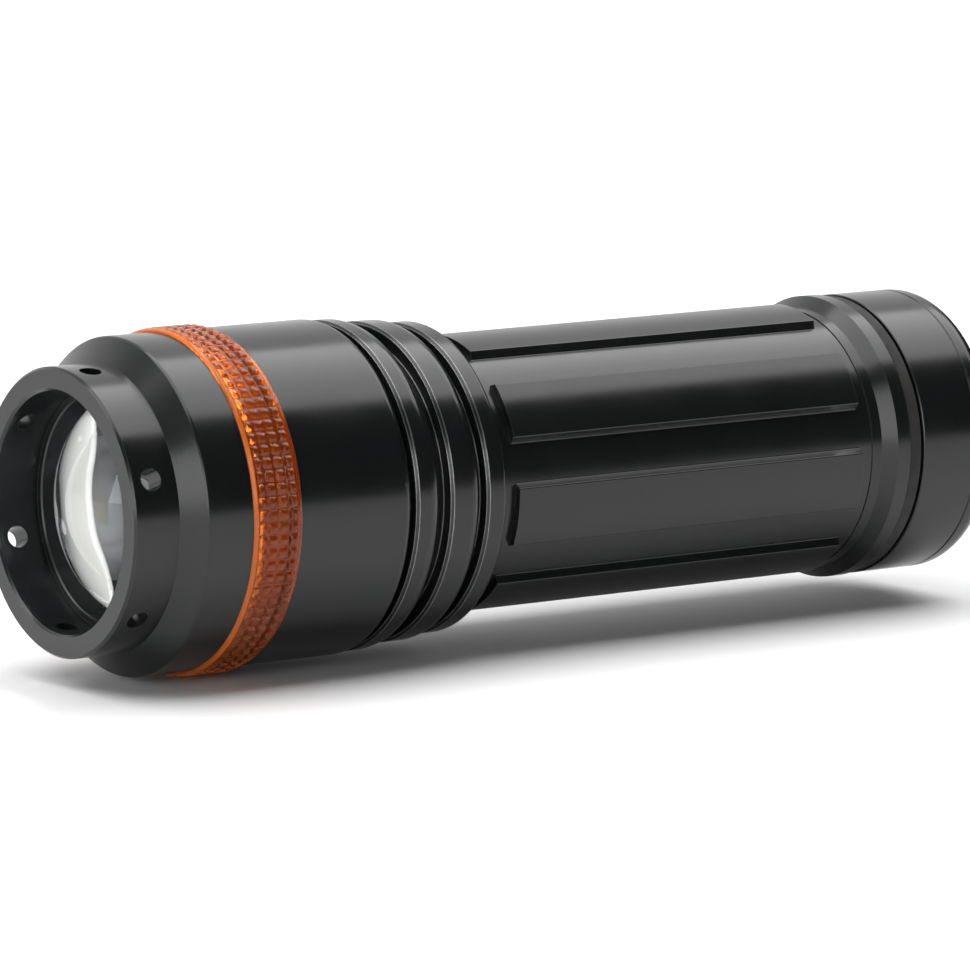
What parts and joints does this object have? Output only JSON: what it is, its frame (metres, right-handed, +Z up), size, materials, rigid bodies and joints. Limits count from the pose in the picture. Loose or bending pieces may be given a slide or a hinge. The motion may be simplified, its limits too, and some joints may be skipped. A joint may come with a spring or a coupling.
{
  "type": "tactical flashlight",
  "caption": "Compact sliding-focus LED flashlight with a domed lens, amber glow ring, grip lands, screw tail cap and push button.",
  "frame": {"origin": "bottom centre of the bounding box: under the middle of the light's length, on the plane that touches the glow ring, the widest ring", "axes": "X along the light's axis, with the lens facing -X and the tail cap at +X; +Z up with the light lying level on its side"},
  "size_m": [0.1106, 0.036, 0.036],
  "materials": {
    "anodised_black": "satin black anodised",
    "retaining_ring_black": "satin black anodised",
    "optical_glass": "polished",
    "led_silicone": "clear silicone",
    "rubber_black": "matte",
    "amber_plastic": "moulded prisms, translucent",
    "white_nylon": "matte",
    "spring_steel": "plated",
    "bare_aluminium": "turned",
    "board_white": "solder mask",
    "board_green": "solder mask",
    "led_phosphor": "phosphor",
    "wire_insulation": "extruded",
    "chip_black": "moulded",
    "carrier_plastic": "moulded",
    "cell_sleeve": "shrink sleeve",
    "contact_brass": "plated"
  },
  "bodies": {
    "barrel": {"barrel_tube": "anodised_black", "stop_ring": "spring_steel", "focus_seal_front": "rubber_black", "focus_seal_rear": "rubber_black", "led_pill": "bare_aluminium", "led_board": "board_white", "led_centring_ring": "white_nylon", "led_emitter": "led_phosphor", "led_dome": "led_silicone", "led_wires": "wire_insulation", "driver_board": "board_green", "driver_chips": "chip_black", "driver_contact_spring": "spring_steel", "carrier_front_plate": "carrier_plastic", "carrier_rear_plate": "carrier_plastic", "carrier_posts": "carrier_plastic", "cells": "cell_sleeve", "cell_tips": "spring_steel", "carrier_springs": "spring_steel", "carrier_front_contact": "contact_brass", "carrier_rear_contact": "contact_brass"},
    "glide": {"glide_ring": "white_nylon"},
    "head": {"bezel": "anodised_black", "lens_retaining_ring": "retaining_ring_black", "lens": "optical_glass", "lens_gasket": "rubber_black", "glow_ring": "amber_plastic", "head_shell": "anodised_black"},
    "cap_seal": {"tail_seal_band": "rubber_black"},
    "tail_cap": {"tail_cap": "anodised_black", "switch_retaining_ring": "retaining_ring_black", "switch_board": "board_green", "tail_contact_spring": "spring_steel", "switch_housing": "carrier_plastic", "boot_washer": "white_nylon", "boot_skirt": "rubber_black"},
    "button": {"button_boot": "rubber_black", "switch_plunger": "carrier_plastic"}
  },
  "joints": [
    {"name": "focus_slide", "type": "slide", "parent": "barrel", "child": "glide", "axis": [-1, 0, 0], "range_m": [0, 0.0075]},
    {"name": "head_turn", "type": "hinge", "parent": "glide", "child": "head", "pos_m": [0, 0, 0.018], "axis": [1, 0, 0], "continuous": true},
    {"name": "cap_travel", "type": "slide", "parent": "barrel", "child": "cap_seal", "axis": [1, 0, 0], "range_m": [0, 0.00601]},
    {"name": "cap_turn", "type": "hinge", "parent": "cap_seal", "child": "tail_cap", "pos_m": [0, 0, 0.018], "axis": [1, 0, 0], "range_deg": [0, 2160]},
    {"name": "button_press", "type": "slide", "parent": "tail_cap", "child": "button", "axis": [-1, 0, 0], "range_m": [0, 0.0018], "stiffness_N_per_m": 1200, "springref_m": -0.001}
  ],
  "couplings": [
    {"joint": "cap_travel", "follows": "cap_turn", "m_per_rad": 0.00015915}
  ]
}
